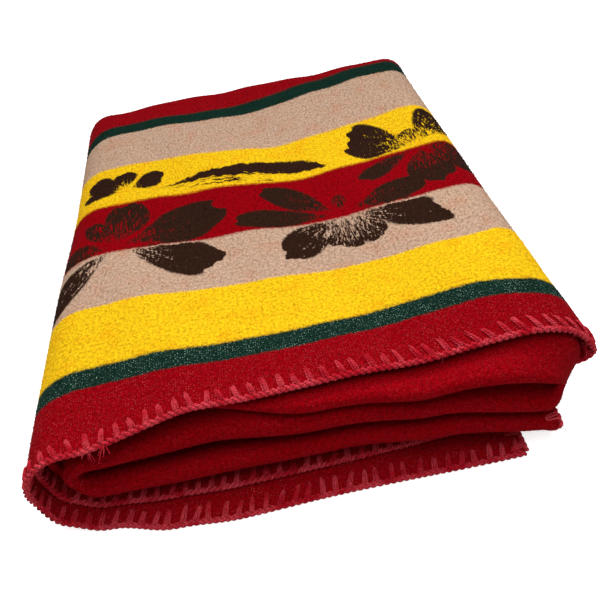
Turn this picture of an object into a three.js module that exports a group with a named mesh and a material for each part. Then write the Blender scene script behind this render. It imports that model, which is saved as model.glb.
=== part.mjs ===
// A thick woven wool blanket, folded in half twice along its length and then twice across its
// width, lying as a soft pile with its stitched hems to the front. Millimetres, +Z up, the front
// of the pile towards -Y. The whole blanket is one sheet of cloth, so it is one solid.
//
// Lengthwise the cloth lies in four layers, named from the outside in: cover (free hem in front),
// inner (free hem in front), inner return, cover return. The two returns meet in a front fold.
// That stack of layers is then carried across the pile in four runs, joined by three bends.
import * as THREE from "three";

const CLOTH_THICKNESS = 3;
const LAYER_PITCH = 5;
const PILE_DEPTH = 415;
const BACK_TAPER = 0.1;
const SWELL_LENGTH = 24;
const FRONT_DRAW_IN = 24;
const FRONT_DRAW_START = 6;
const FRONT_DRAW_LENGTH = 30;
const RIGHT_REACH = 150;
const RIGHT_WAIST = 10;
const RIGHT_FLARE = 7;
const RIGHT_FLARE_LENGTH = 60;
const WOOL_RED = 0xa00414;

const HALF_CLOTH = CLOTH_THICKNESS / 2;
const COVER_HEIGHT = 1.5 * LAYER_PITCH;
const INNER_HEIGHT = 0.5 * LAYER_PITCH;
const LYING = COVER_HEIGHT + HALF_CLOTH;

// One row for each run across the pile, in the order in which the cloth goes through them: where
// the run starts and ends in X, and the height of its middle at its left end, middle and right end.
const RUNS = [
  { name: "bottom", fromX: 158, toX: -179, left: LYING, middle: LYING, right: LYING, steps: 6 },
  { name: "top", fromX: -179, toX: 173, left: 78, middle: 76, right: 86, steps: 9 },
  { name: "under top", fromX: 173, toX: -177, left: 56.5, middle: 54, right: 50, steps: 6 },
  { name: "over bottom", fromX: -177, toX: 182, left: 30.5, middle: 31, right: 29, steps: 6 },
];

// One row for each bend between two runs. A bend that turns over has the cover on its outside.
const BENDS = [
  { name: "left outer", side: -1, steps: 9 },
  { name: "right", side: 1, steps: 7 },
  { name: "left inner", side: -1, steps: 7 },
];

// How far each front edge stands behind the top hem, in Y, at places along the cloth: 0 to 1 is
// the bottom run, 1 to 2 the left outer bend, 2 to 3 the top run, and so on to 7. The swell is how
// far the front fold opens beyond its two layers.
const FRONT_EDGES = [
  { place: 0, coverHem: -43, innerHem: -16, frontFold: 0, swell: 0 },
  { place: 0.5, coverHem: -40, innerHem: -18, frontFold: 0, swell: 0 },
  { place: 0.7, coverHem: -41, innerHem: -18, frontFold: 1, swell: 0 },
  { place: 0.85, coverHem: -37, innerHem: -15, frontFold: 2, swell: 0 },
  { place: 1, coverHem: -26, innerHem: -10, frontFold: 4, swell: 0 },
  { place: 1.25, coverHem: -21, innerHem: -5, frontFold: 7, swell: 0 },
  { place: 1.5, coverHem: -12, innerHem: 3, frontFold: 10, swell: 0 },
  { place: 2, coverHem: -5, innerHem: 12, frontFold: 18, swell: 0 },
  { place: 2.25, coverHem: 9, innerHem: 20, frontFold: 15, swell: 0 },
  { place: 2.5, coverHem: 8, innerHem: 20, frontFold: -8, swell: 2 },
  { place: 2.75, coverHem: 4, innerHem: 17, frontFold: -20, swell: 3 },
  { place: 3, coverHem: 5, innerHem: 16, frontFold: -25, swell: 4 },
  { place: 3.5, coverHem: 0, innerHem: 14, frontFold: -20, swell: 0 },
  { place: 4, coverHem: 4, innerHem: 19, frontFold: -32, swell: 8.5 },
  { place: 4.25, coverHem: 18, innerHem: 19, frontFold: -21, swell: 8.5 },
  { place: 4.5, coverHem: 24, innerHem: 24, frontFold: -13, swell: 8.5 },
  { place: 4.75, coverHem: 30, innerHem: 30, frontFold: -3, swell: 8.5 },
  { place: 5, coverHem: 30, innerHem: 30, frontFold: -4, swell: 8.5 },
  { place: 5.5, coverHem: 28, innerHem: 28, frontFold: -6, swell: 3 },
  { place: 6, coverHem: 24, innerHem: 22, frontFold: -13, swell: 8.5 },
  { place: 6.25, coverHem: 24, innerHem: 17, frontFold: -16, swell: 8.5 },
  { place: 6.5, coverHem: 24, innerHem: 17, frontFold: -19, swell: 8.5 },
  { place: 6.75, coverHem: 24, innerHem: 17, frontFold: -27, swell: 8.5 },
  { place: 7, coverHem: 24, innerHem: 17, frontFold: -38, swell: 8.5 },
];

// Where the pile stands higher or sags, as a share of its height there.
const SOFT_RISES = [
  { name: "right shoulder", x: 150, y: 120, reach: 110, share: 0.04 },
  { name: "back left", x: -90, y: 390, reach: 150, share: 0.09 },
  { name: "front middle sag", x: -40, y: 70, reach: 110, share: -0.02 },
  { name: "back right corner", x: 150, y: 400, reach: 110, share: -0.07 },
  { name: "front right corner", x: 205, y: -25, reach: 45, share: -0.3 },
];

// The steps in the layers and folds of one section through the pile from front to back. All layers
// share the rows behind the front zone, so that their faces stay parallel.
const FRONT_ZONE = 46;
const DEPTH_STEPS = 4;
const HEM_STEPS = 2;
const RETURN_STEPS = 4;
const OUTER_BACK_STEPS = 6;
const INNER_BACK_STEPS = 4;
const FRONT_FOLD_STEPS = 6;

function mix(from, to, share) {
  return from + (to - from) * share;
}

function smooth(share) {
  const held = THREE.MathUtils.clamp(share, 0, 1);
  return held * held * (3 - 2 * held);
}

// A column of FRONT_EDGES at any place along the cloth, eased from row to row.
function frontEdge(column, place) {
  const next = Math.max(1, FRONT_EDGES.findIndex((row) => row.place >= place));
  const before = FRONT_EDGES[next - 1];
  const after = FRONT_EDGES[next];
  const share = (place - before.place) / (after.place - before.place);
  return mix(before[column], after[column], smooth(share));
}

// Height of a run's middle, at a share of the way from its left to its right end.
function runLevel(run, share) {
  if (share < 0.5) return mix(run.left, run.middle, smooth(2 * share));
  return mix(run.middle, run.right, smooth(2 * share - 1));
}

function runStations(run, index) {
  const stations = [];
  const leftX = Math.min(run.fromX, run.toX);
  const width = Math.abs(run.toX - run.fromX);
  const heading = Math.sign(run.toX - run.fromX);
  const nudge = 0.01;
  for (let step = 0; step <= run.steps; step += 1) {
    const x = mix(run.fromX, run.toX, step / run.steps);
    const share = (x - leftX) / width;
    const slope = (runLevel(run, share + nudge) - runLevel(run, share - nudge)) / (2 * nudge * width);
    const direction = new THREE.Vector2(1, slope).normalize().multiplyScalar(heading);
    stations.push({ place: 2 * index + step / run.steps, x, z: runLevel(run, share), direction });
  }
  return stations;
}

// A half turn from the end of one run to the start of the next. The ends belong to the runs.
function bendStations(bend, index) {
  const before = RUNS[index];
  const after = RUNS[index + 1];
  const endName = bend.side < 0 ? "left" : "right";
  const radius = (after[endName] - before[endName]) / 2;
  const middle = before[endName] + radius;
  const stations = [];
  for (let step = 1; step < bend.steps; step += 1) {
    const share = step / bend.steps;
    const angle = share * Math.PI;
    const x = mix(before.toX, after.fromX, share) + bend.side * Math.abs(radius) * Math.sin(angle);
    const z = middle - radius * Math.cos(angle);
    const direction = new THREE.Vector2(bend.side * Math.cos(angle), Math.sign(radius) * Math.sin(angle));
    stations.push({ place: 2 * index + 1 + share, x, z, direction });
  }
  return stations;
}

function pathStations() {
  const stations = [];
  RUNS.forEach((run, index) => {
    stations.push(...runStations(run, index));
    if (index < BENDS.length) stations.push(...bendStations(BENDS[index], index));
  });
  return stations;
}

function layer(points, fromY, toY, steps, height) {
  for (let step = 0; step < steps; step += 1) {
    const y = mix(fromY, toY, step / steps);
    points.push(new THREE.Vector2(y, height(y)));
  }
}

function fold(points, y, height, radius, fromAngle, turn, steps) {
  for (let step = 0; step < steps; step += 1) {
    const angle = fromAngle + (turn * step) / steps;
    points.push(new THREE.Vector2(y + radius * Math.cos(angle), height + radius * Math.sin(angle)));
  }
}

// The middle line of the cloth in one section: Y from front to back, and height above the middle
// of the stack, towards the cover.
function sectionAt(place) {
  const coverHem = frontEdge("coverHem", place);
  const innerHem = frontEdge("innerHem", place);
  const frontFold = frontEdge("frontFold", place);
  const swell = frontEdge("swell", place);
  const foldRadius = INNER_HEIGHT + swell / 2;
  const foldY = frontFold + foldRadius;
  const backY = PILE_DEPTH - COVER_HEIGHT - HALF_CLOTH;
  const up = Math.PI / 2;
  const points = [];
  const cover = () => COVER_HEIGHT;
  const inner = () => INNER_HEIGHT;
  const coverReturn = () => -COVER_HEIGHT;
  const innerReturn = (y) => swell * (1 - smooth((y - foldY) / SWELL_LENGTH)) - INNER_HEIGHT;

  layer(points, coverHem, FRONT_ZONE, HEM_STEPS, cover);
  layer(points, FRONT_ZONE, backY, DEPTH_STEPS, cover);
  fold(points, backY, 0, COVER_HEIGHT, up, -Math.PI, OUTER_BACK_STEPS);
  layer(points, backY, FRONT_ZONE, DEPTH_STEPS, coverReturn);
  layer(points, FRONT_ZONE, foldY, RETURN_STEPS, coverReturn);
  fold(points, foldY, foldRadius - COVER_HEIGHT, foldRadius, -up, -Math.PI, FRONT_FOLD_STEPS);
  layer(points, foldY, FRONT_ZONE, RETURN_STEPS, innerReturn);
  layer(points, FRONT_ZONE, backY, DEPTH_STEPS, innerReturn);
  fold(points, backY, 0, INNER_HEIGHT, -up, Math.PI, INNER_BACK_STEPS);
  layer(points, backY, FRONT_ZONE, DEPTH_STEPS, inner);
  layer(points, FRONT_ZONE, innerHem, HEM_STEPS, inner);
  points.push(new THREE.Vector2(innerHem, INNER_HEIGHT));
  return points;
}

// The direction from the cloth's middle line to its face, square to the line at each point.
function sectionNormals(points) {
  return points.map((point, index) => {
    const before = points[Math.max(index - 1, 0)];
    const after = points[Math.min(index + 1, points.length - 1)];
    const along = after.clone().sub(before).normalize();
    return new THREE.Vector2(-along.y, along.x);
  });
}

// The pile's own unevenness: narrower at the back, drawn in along its right side and at its front
// right corner, with a top that rises and sags.
function settle(point) {
  const back = smooth(point.y / PILE_DEPTH);
  const right = smooth(point.x / RIGHT_REACH);
  const corner = FRONT_DRAW_IN * smooth((FRONT_DRAW_START - point.y) / FRONT_DRAW_LENGTH);
  const depth = THREE.MathUtils.clamp(point.y / PILE_DEPTH, 0, 1);
  const waist = RIGHT_WAIST * Math.sin(Math.PI * Math.sqrt(depth));
  const flare = RIGHT_FLARE * (1 - smooth(point.y / RIGHT_FLARE_LENGTH));
  const rise = SOFT_RISES.reduce((sum, row) => {
    const away = Math.hypot(point.x - row.x, point.y - row.y) / row.reach;
    return sum + row.share * Math.exp(-away * away);
  }, 0);
  const x = point.x * (1 - BACK_TAPER * back) - right * (corner + waist - flare);
  return new THREE.Vector3(x, point.y, point.z * (1 + rise));
}

// Both faces of the cloth at one station: the section carried to its place on the path.
function facesAt(station) {
  const middle = sectionAt(station.place);
  const normals = sectionNormals(middle);
  const out = new THREE.Vector2(-station.direction.y, station.direction.x);
  const place = (y, height) =>
    settle(new THREE.Vector3(station.x + height * out.x, y, station.z + height * out.y));
  const face = (offset) =>
    middle.map(({ x, y }, index) => place(x + offset * normals[index].x, y + offset * normals[index].y));
  return { front: face(HALF_CLOTH), back: face(-HALF_CLOTH) };
}

function clothGeometry() {
  const stations = pathStations().map(facesAt);
  const rows = stations[0].front.length;
  const columns = stations.length;
  const vertices = [];
  stations.forEach(({ front, back }) => vertices.push(...front, ...back));
  const frontPoint = (row, column) => 2 * rows * column + row;
  const backPoint = (row, column) => frontPoint(row, column) + rows;
  const triangles = [];
  const quad = (a, b, c, d) => triangles.push(a, b, c, a, c, d);

  for (let column = 0; column < columns - 1; column += 1) {
    for (let row = 0; row < rows - 1; row += 1) {
      quad(
        frontPoint(row, column),
        frontPoint(row, column + 1),
        frontPoint(row + 1, column + 1),
        frontPoint(row + 1, column),
      );
      quad(
        backPoint(row, column),
        backPoint(row + 1, column),
        backPoint(row + 1, column + 1),
        backPoint(row, column + 1),
      );
    }
    const last = rows - 1;
    quad(
      backPoint(0, column),
      backPoint(0, column + 1),
      frontPoint(0, column + 1),
      frontPoint(0, column),
    );
    quad(
      frontPoint(last, column),
      frontPoint(last, column + 1),
      backPoint(last, column + 1),
      backPoint(last, column),
    );
  }
  for (let row = 0; row < rows - 1; row += 1) {
    const last = columns - 1;
    quad(frontPoint(row, 0), frontPoint(row + 1, 0), backPoint(row + 1, 0), backPoint(row, 0));
    quad(backPoint(row, last), backPoint(row + 1, last), frontPoint(row + 1, last), frontPoint(row, last));
  }

  const geometry = new THREE.BufferGeometry().setFromPoints(vertices);
  geometry.setIndex(triangles);
  geometry.computeBoundingBox();
  const { min, max } = geometry.boundingBox;
  geometry.translate(-(min.x + max.x) / 2, -(min.y + max.y) / 2, -min.z);
  geometry.computeVertexNormals();
  return geometry;
}

const wool = new THREE.MeshStandardMaterial({ color: WOOL_RED, roughness: 0.95, metalness: 0 });
const blanket = new THREE.Mesh(clothGeometry(), wool);
blanket.name = "blanket";

const folded = new THREE.Group();
folded.add(blanket);

export default folded;
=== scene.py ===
# %% [markdown]
# A folded wool blanket, dressed for its picture. The solid pile comes in as a fixed frame. Here it
# gets what a solid cannot show: one thin cloth laid on the same folds, the woven bands and flowers,
# the felted nap, and the thick yarn stitched round the hem.

# %% Load the frame
import math
import bpy
import numpy as np
from mathutils import Matrix, Vector
from mathutils.bvhtree import BVHTree


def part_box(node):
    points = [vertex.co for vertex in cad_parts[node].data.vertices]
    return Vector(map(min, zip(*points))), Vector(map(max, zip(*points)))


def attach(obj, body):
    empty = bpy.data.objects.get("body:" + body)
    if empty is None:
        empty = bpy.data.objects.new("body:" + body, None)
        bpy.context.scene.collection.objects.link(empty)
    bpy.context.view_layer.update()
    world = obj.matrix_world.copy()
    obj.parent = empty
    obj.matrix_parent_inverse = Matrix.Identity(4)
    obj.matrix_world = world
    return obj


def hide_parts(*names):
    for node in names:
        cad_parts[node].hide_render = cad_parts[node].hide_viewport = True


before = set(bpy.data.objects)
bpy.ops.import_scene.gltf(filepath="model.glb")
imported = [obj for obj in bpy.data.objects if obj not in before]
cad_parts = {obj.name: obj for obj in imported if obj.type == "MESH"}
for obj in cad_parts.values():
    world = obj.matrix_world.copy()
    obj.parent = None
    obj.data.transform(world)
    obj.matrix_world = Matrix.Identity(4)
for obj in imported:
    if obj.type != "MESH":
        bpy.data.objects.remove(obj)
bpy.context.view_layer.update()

# %% [markdown]
# A new object joins whatever is selected, and loading leaves the solid selected. So the selection
# is cleared first, and every piece starts alone. All random draws come from one seed, so every run
# gives the same blanket.

# %% Small helpers
SEED = 7
random = np.random.default_rng(SEED)


def clear_selection():
    bpy.ops.object.select_all(action="DESELECT")


def smooth(share):
    held = np.clip(share, 0.0, 1.0)
    return held * held * (3.0 - 2.0 * held)


def mix(start, end, share):
    return start + (end - start) * share


def unit(vectors):
    return vectors / np.maximum(np.linalg.norm(vectors, axis=-1, keepdims=True), 1e-12)


def linear(red, green, blue):
    """A colour as a screen shows it, 0 to 255, made into the light values that shaders take."""
    shown = np.array([red, green, blue]) / 255.0
    light = np.where(shown <= 0.04045, shown / 12.92, ((shown + 0.055) / 1.055) ** 2.4)
    return (*light.tolist(), 1.0)


print("random draws start from seed", SEED)

# %% [markdown]
# The camera stands above the front hem and looks down at the pile. It was held a little askew, so
# it is also rolled about its own line of sight. The turn is built from three plain turns: how far
# down it looks, which way it faces, and the roll.

# %% Camera
CAMERA_AT = (0.0059, -0.3942, 0.4250)
LOOK_DOWN = math.radians(50.0)
FACING = math.radians(-1.3)
ROLL = math.radians(-11.8)
PICTURE_PIXELS = 610
FOCAL_PIXELS = 571
SENSOR_WIDTH_MM = 36.0

clear_selection()
bpy.ops.object.camera_add(location=CAMERA_AT)
camera = bpy.context.object
camera.name = "camera"
tilt = Matrix.Rotation(math.pi / 2 - LOOK_DOWN, 4, "X")
camera.matrix_world = (
    Matrix.Translation(CAMERA_AT)
    @ Matrix.Rotation(FACING, 4, "Z")
    @ tilt
    @ Matrix.Rotation(ROLL, 4, "Z")
)
camera.data.sensor_width = SENSOR_WIDTH_MM
camera.data.lens = SENSOR_WIDTH_MM * FOCAL_PIXELS / PICTURE_PIXELS
bpy.context.scene.camera = camera
print("camera lens", round(camera.data.lens, 1), "mm")

# %% [markdown]
# The cloth is folded by the same rule as the solid. Lengthwise it lies in four layers: the cover
# with its free hem in front, round the back fold to the cover's return, round the front fold to the
# inner return, and round the inner back fold to the inner layer with the other free hem. That stack
# then goes across the pile in four runs joined by three half turns.

# %% Sizes of the folds, in metres
CLOTH_THICKNESS = 0.003
LAYER_PITCH = 0.005
PILE_DEPTH = 0.415
COVER_HEIGHT = 1.5 * LAYER_PITCH
INNER_HEIGHT = 0.5 * LAYER_PITCH
LYING = COVER_HEIGHT + CLOTH_THICKNESS / 2
BACK_Y = PILE_DEPTH - LYING
FRONT_ZONE = 0.046
SWELL_LENGTH = 0.024

# from x, to x, then the height of the run's middle at its left end, its middle and its right end
RUNS = {
    "bottom": (0.158, -0.179, LYING, LYING, LYING),
    "top": (-0.179, 0.173, 0.078, 0.076, 0.086),
    "under top": (0.173, -0.177, 0.0565, 0.054, 0.050),
    "over bottom": (-0.177, 0.182, 0.0305, 0.031, 0.0290),
}
# where a run's row holds the heights of its two ends
LEFT_LEVEL, RIGHT_LEVEL = 2, 4
RUN_STEPS = {"bottom": 40, "top": 66, "under top": 40, "over bottom": 40}
BEND_STEPS = (24, 18, 16)
BEND_SIDES = (-1, 1, -1)

# place along the cloth, then how far back each front edge stands: cover hem, inner hem, front fold,
# and how far the front fold swells open
FRONT_EDGES = np.array([
    (0.00, -0.043, -0.016, 0.000, 0.0000),
    (0.50, -0.040, -0.018, 0.000, 0.0000),
    (0.70, -0.041, -0.018, 0.001, 0.0000),
    (0.85, -0.037, -0.015, 0.002, 0.0000),
    (1.00, -0.026, -0.010, 0.004, 0.0000),
    (1.25, -0.021, -0.005, 0.007, 0.0000),
    (1.50, -0.012, 0.003, 0.010, 0.0000),
    (2.00, -0.005, 0.012, 0.018, 0.0000),
    (2.25, 0.009, 0.020, 0.015, 0.0000),
    (2.50, 0.008, 0.020, -0.008, 0.0020),
    (2.75, 0.004, 0.017, -0.020, 0.0030),
    (3.00, 0.005, 0.016, -0.025, 0.0040),
    (3.50, 0.000, 0.014, -0.020, 0.0000),
    (4.00, 0.004, 0.019, -0.032, 0.0085),
    (4.25, 0.018, 0.019, -0.021, 0.0085),
    (4.50, 0.024, 0.024, -0.013, 0.0085),
    (4.75, 0.030, 0.030, -0.003, 0.0085),
    (5.00, 0.030, 0.030, -0.004, 0.0085),
    (5.50, 0.028, 0.028, -0.006, 0.0030),
    (6.00, 0.024, 0.022, -0.013, 0.0085),
    (6.25, 0.024, 0.017, -0.016, 0.0085),
    (6.50, 0.024, 0.017, -0.019, 0.0085),
    (6.75, 0.024, 0.017, -0.027, 0.0085),
    (7.00, 0.024, 0.017, -0.038, 0.0085),
])
print(len(RUNS), "runs and", len(BEND_STEPS), "half turns, layers", LAYER_PITCH, "m apart")

# %% [markdown]
# From above, every run is straight. Its height is led from one end over the middle to the other. A
# half turn joins the ends of two runs, and leans over where they don't end at the same place.

# %% The way across the pile
def run_level(levels, share):
    left, middle, right = levels
    lower = mix(left, middle, smooth(2 * share))
    upper = mix(middle, right, smooth(2 * share - 1))
    return np.where(share < 0.5, lower, upper)


def run_path(row, steps):
    start, end, *levels = row
    x = np.linspace(start, end, steps + 1)
    share = (x - min(start, end)) / abs(end - start)
    return x, run_level(levels, share)


def bend_path(before, after, side, steps):
    level = LEFT_LEVEL if side < 0 else RIGHT_LEVEL
    radius = (after[level] - before[level]) / 2
    share = np.arange(1, steps) / steps
    x = mix(before[1], after[0], share) + side * abs(radius) * np.sin(math.pi * share)
    return x, before[level] + radius * (1 - np.cos(math.pi * share))


def cloth_path():
    """Place, x and z of each station on the way of the stack's middle through runs and bends."""
    places, xs, zs = [], [], []
    rows = list(RUNS.values())
    for index, (name, row) in enumerate(RUNS.items()):
        steps = RUN_STEPS[name]
        x, z = run_path(row, steps)
        places.append(2 * index + np.arange(steps + 1) / steps)
        xs.append(x)
        zs.append(z)
        if index < len(BEND_STEPS):
            turns = BEND_STEPS[index]
            x, z = bend_path(row, rows[index + 1], BEND_SIDES[index], turns)
            places.append(2 * index + 1 + np.arange(1, turns) / turns)
            xs.append(x)
            zs.append(z)
    return np.concatenate(places), np.concatenate(xs), np.concatenate(zs)


PLACE, PATH_X, PATH_Z = cloth_path()
along_path = unit(np.stack([np.gradient(PATH_X), np.gradient(PATH_Z)], axis=-1))
PATH_OUT = np.stack([-along_path[:, 1], along_path[:, 0]], axis=-1)
print("stations across the pile", len(PLACE))


# %% [markdown]
# One section through the stack, front to back, is a row of straight layers and round folds. Every
# station has its own, because the front edges wander. Rows lie closer together where the cloth
# bends or shows.

# %% The layers from front to back
FRONT_STEPS = 10
COVER_STEPS = 56
HIDDEN_STEPS = 12
INNER_HEM_STEPS = 8
BACK_FOLD_STEPS = 12
FRONT_FOLD_STEPS = 14
INNER_FOLD_STEPS = 8


def front_edge(column):
    rows = FRONT_EDGES
    after = np.clip(np.searchsorted(rows[:, 0], PLACE), 1, len(rows) - 1)
    share = (PLACE - rows[after - 1, 0]) / (rows[after, 0] - rows[after - 1, 0])
    return mix(rows[after - 1, column], rows[after, column], smooth(share))[:, None]


def steps_of(count):
    return (np.arange(count) / count)[None, :]


def section_rows():
    cover_hem, inner_hem, front_fold, swell = (front_edge(column) for column in range(1, 5))
    fold_radius = INNER_HEIGHT + swell / 2
    fold_y = front_fold + fold_radius
    every = np.ones((len(PLACE), 1))
    depths, heights = [], []

    def layer(start, end, count, height):
        y = mix(start * every, end * every, steps_of(count))
        depths.append(y)
        heights.append(height(y))

    def fold(y, height, radius, start, turn, count):
        angle = start + turn * steps_of(count)
        depths.append(y + radius * np.cos(angle) * every)
        heights.append(height + radius * np.sin(angle) * every)

    def flat(height):
        return lambda y: np.full_like(y, height)

    def inner_return(y):
        return swell * (1 - smooth((y - fold_y) / SWELL_LENGTH)) - INNER_HEIGHT

    quarter = math.pi / 2
    layer(cover_hem, FRONT_ZONE, FRONT_STEPS, flat(COVER_HEIGHT))
    layer(FRONT_ZONE, BACK_Y, COVER_STEPS, flat(COVER_HEIGHT))
    fold(BACK_Y, 0.0, COVER_HEIGHT, quarter, -math.pi, BACK_FOLD_STEPS)
    layer(BACK_Y, FRONT_ZONE, HIDDEN_STEPS, flat(-COVER_HEIGHT))
    layer(FRONT_ZONE, fold_y, FRONT_STEPS, flat(-COVER_HEIGHT))
    fold(fold_y, fold_radius - COVER_HEIGHT, fold_radius, -quarter, -math.pi, FRONT_FOLD_STEPS)
    layer(fold_y, FRONT_ZONE, FRONT_STEPS, inner_return)
    layer(FRONT_ZONE, BACK_Y, HIDDEN_STEPS, inner_return)
    fold(BACK_Y, 0.0, INNER_HEIGHT, -quarter, math.pi, INNER_FOLD_STEPS)
    layer(BACK_Y, FRONT_ZONE, HIDDEN_STEPS, flat(INNER_HEIGHT))
    layer(FRONT_ZONE, inner_hem, INNER_HEM_STEPS, flat(INNER_HEIGHT))
    depths.append(inner_hem)
    heights.append(np.full_like(inner_hem, INNER_HEIGHT))
    return np.concatenate(depths, axis=1), np.concatenate(heights, axis=1)


SECTION_Y, SECTION_H = section_rows()
print("rows along the cloth", SECTION_Y.shape[1])

# %% [markdown]
# A pile of cloth is never square. It is narrower at the back, drawn in along the right side and at
# the front right corner, and its top rises and sags. On top of that come soft waves: every layer
# takes the same wave, and less of it lower down, so no layer cuts through its neighbour.

# %% Settle the pile
BACK_TAPER = 0.100
RIGHT_REACH = 0.150
RIGHT_WAIST = 0.010
RIGHT_FLARE = 0.007
RIGHT_FLARE_LENGTH = 0.060
FRONT_DRAW_IN = 0.024
FRONT_DRAW_START = 0.006
FRONT_DRAW_LENGTH = 0.030

# x, y, reach, and the rise as a share of the height there
SOFT_RISES = {
    "right shoulder": (0.150, 0.120, 0.110, 0.04),
    "back left": (-0.090, 0.390, 0.150, 0.09),
    "front middle sag": (-0.040, 0.070, 0.110, -0.02),
    "back right corner": (0.150, 0.400, 0.110, -0.07),
    "front right corner": (0.205, -0.025, 0.045, -0.30),
}

# length of the wave along x and along y, its height on top of the pile, and where it starts
SOFT_WAVES = {
    "roll": (0.290, 0.230, 0.0013, 1.9),
    "wave along the front": (0.118, 0.400, 0.0011, 0.3),
    "ripple": (0.061, 0.150, 0.0005, 4.0),
}
TOP_LEVEL = 0.090


def settle(x, y, z):
    back = smooth(y / PILE_DEPTH)
    right = smooth(x / RIGHT_REACH)
    corner = FRONT_DRAW_IN * smooth((FRONT_DRAW_START - y) / FRONT_DRAW_LENGTH)
    waist = RIGHT_WAIST * np.sin(math.pi * np.sqrt(np.clip(y / PILE_DEPTH, 0, 1)))
    flare = RIGHT_FLARE * (1 - smooth(y / RIGHT_FLARE_LENGTH))
    lift = 0.0
    for at_x, at_y, reach, share in SOFT_RISES.values():
        lift = lift + share * np.exp(-(((x - at_x) ** 2 + (y - at_y) ** 2) / reach**2))
    for length_x, length_y, height, start in SOFT_WAVES.values():
        lift = lift + height / TOP_LEVEL * np.sin(2 * math.pi * (x / length_x + y / length_y) + start)
    settled_x = x * (1 - BACK_TAPER * back) - right * (corner + waist - flare)
    return np.stack([settled_x, y, z * (1 + lift)], axis=-1)


def folded_points():
    x = PATH_X[:, None] + SECTION_H * PATH_OUT[:, :1]
    z = PATH_Z[:, None] + SECTION_H * PATH_OUT[:, 1:]
    points = settle(x, SECTION_Y, z)
    low, high = (np.array(corner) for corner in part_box("blanket"))
    reach = CLOTH_THICKNESS / 2
    middle = (points.min(axis=(0, 1)) + points.max(axis=(0, 1))) / 2
    shift = (low + high) / 2 - middle
    shift[2] = low[2] + reach - points[..., 2].min()
    return points + shift, shift


POINTS, SHIFT = folded_points()
print("cloth laid at", np.round(SHIFT, 4))

# %% [markdown]
# The pattern is woven before the cloth is folded, so every point also needs its place on the flat cloth.
# That is the way along the folds: across the pile by the cover's path, and lengthwise by each section.

# %% Where each point lies on the flat cloth
cover_way = np.stack([PATH_X, PATH_Z], axis=-1) + COVER_HEIGHT * PATH_OUT
cover_steps = np.linalg.norm(np.diff(cover_way, axis=0), axis=-1)
WIDTH_AT = np.concatenate([[0.0], np.cumsum(cover_steps)])
row_steps = np.hypot(np.diff(SECTION_Y, axis=1), np.diff(SECTION_H, axis=1))
LENGTH_AT = np.concatenate([np.zeros((len(PLACE), 1)), np.cumsum(row_steps, axis=1)], axis=1)
LENGTH_AT *= LENGTH_AT[:, -1].mean() / LENGTH_AT[:, -1:]
BLANKET_WIDTH = float(WIDTH_AT[-1])
BLANKET_LENGTH = float(LENGTH_AT[0, -1])
print("flat cloth", round(BLANKET_WIDTH, 3), "by", round(BLANKET_LENGTH, 3), "m")

# %% [markdown]
# Woven cloth gives way a little. The right side of this pile has been pulled forwards, and the top
# sags in the middle, at the right corner and at the back left. So the weave lies slightly askew there,
# although the folds are square. Only the cloth's own coordinates change for that, not its shape.

# %% Where the weave sags and is pulled
PULL = 0.036
PULL_FROM = 0.533
PULL_WIDTH = 0.292
PULL_HEM = 0.070
PULL_END = 0.230
PULL_FADE = 0.200
PULL_MOST = 1.1
SAG = 0.0125
SAG_ACROSS = 0.750
SAG_SLANT = 0.450
SAG_FROM = 0.126
SAG_WIDTH = 0.090
SAG_START = 0.070
SAG_RISE = 0.060
CORNER_SAG = 0.009
CORNER_ACROSS = 0.850
CORNER_WIDTH = 0.045
CORNER_START = 0.060
CORNER_FADE = 0.050
LEFT_SAG = 0.012
LEFT_ACROSS = 0.428
LEFT_WIDTH = 0.048
LEFT_START = 0.310
LEFT_RISE = 0.070
COVER_END = 0.430

# place along the cloth, and where the hem would stand if it were straight with the weave
HEM_LINE = np.array([
    (1.5, -0.009), (2.0, 0.0), (2.5, 0.0), (2.75, 0.002), (3.0, 0.004), (3.5, 0.002),
])


def near(middle, width):
    return np.exp(-(((WIDTH_AT[:, None] - middle) / width) ** 2))


def sagged(length):
    """How much further from the hem the weave reads where the top sags forwards."""
    middle = SAG_ACROSS - SAG_SLANT * (length - SAG_FROM)
    sag = SAG * near(middle, SAG_WIDTH) * smooth((length - SAG_START) / SAG_RISE)
    left = LEFT_SAG * near(LEFT_ACROSS, LEFT_WIDTH) * smooth((length - LEFT_START) / LEFT_RISE)
    corner = CORNER_SAG * near(CORNER_ACROSS, CORNER_WIDTH)
    return sag + left + corner * (1 - smooth((length - CORNER_START) / CORNER_FADE))


def pulled_length():
    straight = np.interp(PLACE, *HEM_LINE.T)
    on_top = (PLACE > HEM_LINE[0, 0]) & (PLACE < HEM_LINE[-1, 0])
    wander = np.where(on_top, front_edge(1)[:, 0] - straight, 0.0)[:, None]
    length = LENGTH_AT + wander * (1 - smooth(LENGTH_AT / BLANKET_LENGTH))
    across = np.clip((WIDTH_AT - PULL_FROM) / PULL_WIDTH, 0, PULL_MOST)[:, None]
    near_hem = 1 - np.exp(-length / PULL_HEM)
    pulled = length + PULL * across * near_hem * (1 - smooth((length - PULL_END) / PULL_FADE))
    on_cover = 1 - smooth((pulled - COVER_END) / PULL_FADE)
    return pulled + sagged(pulled) * on_cover


print("sags of", SAG, LEFT_SAG, "and", CORNER_SAG, "m, and a pull of", PULL, "m")

# %% [markdown]
# The flat cut is a plain grid, one square for each step of the folding. Its points are moved to their
# folded places. The flat cloth's coordinates are kept as its UV map, so that the woven pattern follows
# every fold. A Solidify modifier then gives the sheet its thickness.

# %% The blanket
SMOOTH_BELOW = math.radians(50)

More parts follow.
